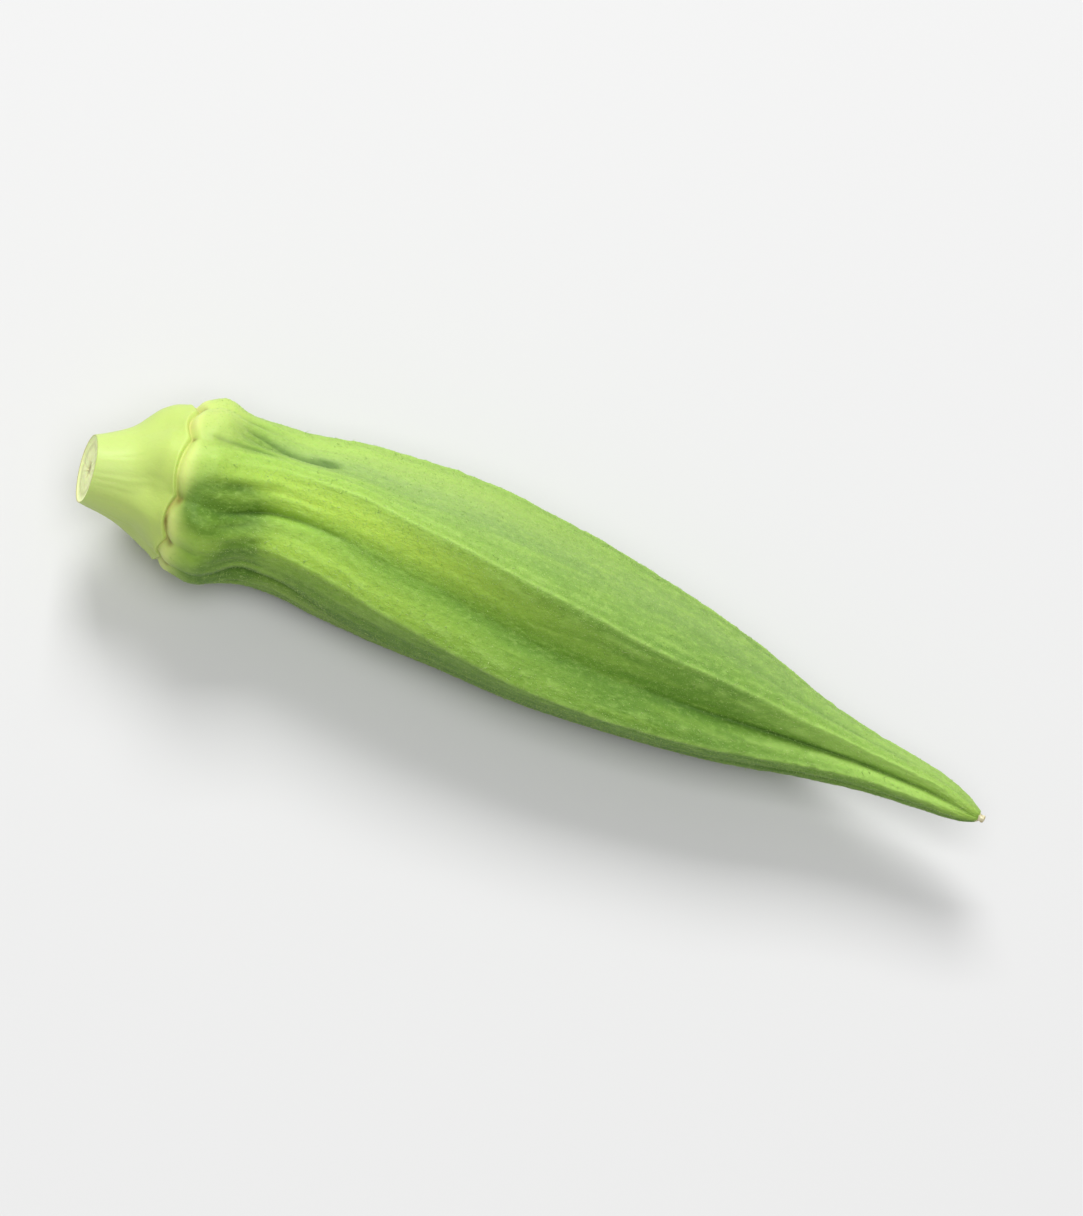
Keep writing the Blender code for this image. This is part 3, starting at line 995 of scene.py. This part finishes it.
# Painted sheen on the top
PAINTED_SHEEN_COLOR = tint(147, 173, 104)
# Painted shade on the underside
UNDERSIDE_SHADE_COLOR = tint(70, 110, 20)
CREAM_COLOR = tint(218, 228, 136)
RIM_COLOR = tint(176, 164, 88)
SCAR_COLOR = tint(122, 106, 48)
FLESH_COLOR = tint(236, 246, 174)
FIBRE_COLOR = tint(212, 218, 146)
DRY_COLOR = tint(184, 168, 104)
CRUMB_COLOR, CRUMB_STREAK_COLOR = tint(226, 222, 190), tint(178, 160, 110)
DOWN_COLORS = (tint(128, 168, 74), tint(164, 194, 108))
BRISTLE_COLORS = (tint(140, 174, 86), tint(188, 210, 134))

# Colours laid over one another, the last on top: mask, the most that is mixed in, colour
# Of these layers, the valleys', the hollows' and the underside's are painted shade, the yellow bands
# are partly painted light, and the sheen layer is a painted sheen
REGIONS = (
    ("valley", 0.6, VALLEY_SHADE_COLOR), ("yellow_and_painted_light", 0.75, YELLOW_AND_PAINTED_LIGHT_COLOR), ("painted_sheen", 0.68, PAINTED_SHEEN_COLOR),
    ("under", 0.7, UNDERSIDE_SHADE_COLOR), ("hollow_shade", 0.9, SHADE_AND_PATCH_COLOR), ("rib", 0.45, RIB_COLOR),
)
# Of these, the line layer also holds painted light near the tip, and the seam layer painted shade in
# the neck's creases and its nick
DETAILS = (
    ("line", 0.6, LINE_AND_LIGHT_COLOR), ("seam", 0.6, SEAM_AND_SHADE_COLOR), ("cream", 1.0, CREAM_COLOR),
    ("rim", 0.8, RIM_COLOR), ("scar", 0.8, SCAR_COLOR),
)
SKIN_ROUGHNESS = ((0.0, grey(0.4)), (0.1, grey(0.42)), (0.2, grey(0.52)), (1.0, grey(0.55)))
DULL_ROUGHNESS = 0.72  # in spots all over
CAP_ENDS, COLLAR_ENDS = 0.1, 0.16  # shares of the length
CAP_GRAIN = 0.25  # how much of the belly's grain the cap has


def off_cap(tree):
    """Little on the cap, and all of it from the collar on."""
    return maths(tree, "ADD", steep(tree, attribute(tree, "along"), CAP_ENDS, COLLAR_ENDS), CAP_GRAIN)


def lay_over(tree, color, layers):
    for mask, most, tone in layers:
        color = mix(tree, maths(tree, "MULTIPLY", attribute(tree, mask), most), color, tone)
    return color


def speckled(tree, color):
    """Streaks, patches, and pale and dark specks."""
    streaks = grain(tree, 12.0, 900.0)
    patches = grain(tree, 3.0, 160.0, 2.0)
    specks = grain(tree, 1.6, 2200.0, 2.0)
    fade = off_cap(tree)
    for texture, low, high, most, tone in (
        (streaks, 0.45, 0.75, 0.2, RIB_COLOR), (patches, 0.5, 0.8, 0.25, SHADE_AND_PATCH_COLOR),
        (specks, 0.48, 0.75, 0.3, LINE_AND_LIGHT_COLOR), (specks, 0.45, 0.25, 0.16, SEAM_AND_SHADE_COLOR),
    ):
        amount = maths(tree, "MULTIPLY", steep(tree, texture, low, high), most)
        color = mix(tree, maths(tree, "MULTIPLY", amount, fade), color, tone)
    return color


def skin_color(tree):
    color = ramp(tree, attribute(tree, "along"), BODY_COLORS)
    color = lay_over(tree, color, REGIONS)
    color = speckled(tree, color)
    return lay_over(tree, color, DETAILS)


def cut_color(tree):
    """Cream flesh with a ring of fibres, a darker pith and a drying brown edge."""
    share = attribute(tree, "cut_share")
    ring = ramp(tree, share, (
        (0.0, tint(206, 200, 140)), (0.16, tint(218, 220, 156)), (0.3, FLESH_COLOR),
        (0.6, FLESH_COLOR), (0.74, FIBRE_COLOR), (0.84, FLESH_COLOR), (0.95, FLESH_COLOR),
        (1.0, DRY_COLOR),
    ))
    mottle = steep(tree, grain(tree, 1.0, 1500.0), 0.55, 0.75)
    return mix(tree, maths(tree, "MULTIPLY", mottle, 0.25), ring, DRY_COLOR)


def skin_material():
    material, tree, shader = new_material("okra_skin")
    cut = attribute(tree, "cut")
    plug(tree, shader.inputs["Base Color"], mix(tree, cut, skin_color(tree), cut_color(tree)))
    waxy = ramp(tree, attribute(tree, "along"), SKIN_ROUGHNESS)
    dull = maths(tree, "MULTIPLY", grain(tree, 2.0, 700.0), 0.5)
    plug(tree, shader.inputs["Roughness"], mix(tree, dull, waxy, grey(DULL_ROUGHNESS)))
    shader.inputs["Specular IOR Level"].default_value = 0.32
    shader.inputs["Subsurface Weight"].default_value = 0.22
    shader.inputs["Subsurface Radius"].default_value = (0.5 * MM, 0.9 * MM, 0.25 * MM)
    shader.inputs["Subsurface Scale"].default_value = 1.0
    shader.inputs["Sheen Weight"].default_value = 0.03
    shader.inputs["Sheen Roughness"].default_value = 0.5
    shader.inputs["Sheen Tint"].default_value = (0.8, 0.95, 0.7, 1.0)
    rough = off_cap(tree)
    long_grain = bump(tree, grain(tree, 5.0, 1100.0), 0.09, rough)
    round_grain = bump(tree, grain(tree, 1.6, 1700.0), 0.09, rough, long_grain)
    plug(tree, shader.inputs["Normal"], bump(tree, grain(tree, 1.3, 3800.0), 0.06, rough, round_grain))
    return material


def hair_material(name, plain, pale):
    """Each hair's colour lies between these two."""
    material, tree, shader = new_material(name)
    by_hair = mix(tree, attribute(tree, "shade"), plain, pale)
    patches = maths(tree, "MULTIPLY", steep(tree, grain(tree, 4.0, 220.0), 0.4, 0.7), 0.5)
    plug(tree, shader.inputs["Base Color"], mix(tree, patches, by_hair, pale))
    shader.inputs["Roughness"].default_value = 0.65
    shader.inputs["Specular IOR Level"].default_value = 0.2
    return material


def remnant_material():
    material, tree, shader = new_material("dried_style")
    streaks = steep(tree, grain(tree, 4.0, 2500.0), 0.35, 0.65)
    plug(tree, shader.inputs["Base Color"], mix(tree, streaks, CRUMB_COLOR, CRUMB_STREAK_COLOR))
    shader.inputs["Roughness"].default_value = 0.8
    plug(tree, shader.inputs["Normal"], bump(tree, streaks, 0.06))
    return material


# The studio

FLOOR_HALF = 1.5
FLOOR_DROP = 0.00002
FLOOR_TONE = 0.6
WORLD_STRENGTH = 0.3
LIGHTS = (  # name, place, size, power; each looks at the pod
    ("window", (-0.35, 0.8, 0.85), 0.5, 13.0), ("overhead", (0.05, -0.2, 1.1), 0.7, 8.0),
)
CAMERA_ELEVATION = np.radians(71.0)
CAMERA_ROLL = np.radians(21.0)
CAMERA_DISTANCE = 0.62
LENS = 175.0
VIEW_CENTRE = (0.0, 0.001, 0.008)


def add_piece(name, mesh, material):
    piece = bpy.data.objects.new(name, mesh)
    bpy.context.scene.collection.objects.link(piece)
    mesh.materials.append(material)
    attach(piece, BODY)
    return piece


def add_floor():
    mesh = bpy.data.meshes.new("floor")
    corners = [(-1, -1), (1, -1), (1, 1), (-1, 1)]
    points = [(x * FLOOR_HALF, y * FLOOR_HALF, -FLOOR_DROP) for x, y in corners]
    mesh.from_pydata(points, [], [(0, 1, 2, 3)])
    material, _, shader = new_material("floor_paper")
    shader.inputs["Base Color"].default_value = grey(FLOOR_TONE)
    shader.inputs["Roughness"].default_value = 0.9
    mesh.materials.append(material)
    floor = bpy.data.objects.new("floor", mesh)
    bpy.context.scene.collection.objects.link(floor)


def add_light(name, place, size, power):
    light = bpy.data.lights.new(name, "AREA")
    light.size, light.energy = size, power
    holder = bpy.data.objects.new(name, light)
    holder.location = place
    holder.rotation_euler = Vector(place).to_track_quat("Z", "Y").to_euler()
    bpy.context.scene.collection.objects.link(holder)


def add_world():
    world = bpy.data.worlds.new("studio")
    world.use_nodes = True
    background = world.node_tree.nodes["Background"]
    background.inputs["Color"].default_value = grey(1.0)
    background.inputs["Strength"].default_value = WORLD_STRENGTH
    bpy.context.scene.world = world


def add_camera():
    camera = bpy.data.cameras.new("camera")
    camera.lens = LENS
    camera.sensor_fit = "VERTICAL"
    camera.sensor_height = 36.0
    camera.clip_start, camera.clip_end = 0.01, 10.0
    holder = bpy.data.objects.new("camera", camera)
    away = Vector((0.0, -np.cos(CAMERA_ELEVATION), np.sin(CAMERA_ELEVATION)))
    holder.location = Vector(VIEW_CENTRE) + away * CAMERA_DISTANCE
    turned = away.to_track_quat("Z", "Y").to_matrix()
    roll = Vector((0.0, 0.0, 1.0))
    holder.rotation_euler = (turned @ Matrix.Rotation(CAMERA_ROLL, 3, roll)).to_euler()
    bpy.context.scene.collection.objects.link(holder)
    bpy.context.scene.camera = holder


def add_studio():
    add_floor()
    add_world()
    for light in LIGHTS:
        add_light(*light)
    bpy.context.scene.view_settings.view_transform = "Standard"
    add_camera()


def main():
    mesh, shift = make_skin()
    skin = add_piece("skin", mesh, skin_material())
    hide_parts(NODE)
    down = make_hairs("down", DOWN, down_density, shift, bent=False)
    add_piece("down", down, hair_material("down_hair", *DOWN_COLORS))
    bristles = make_hairs("bristles", BRISTLES, bristle_density, shift, bent=True)
    add_piece("bristles", bristles, hair_material("bristle_hair", *BRISTLE_COLORS))
    add_piece("style_remnant", make_remnant(shift), remnant_material())
    add_studio()


main()
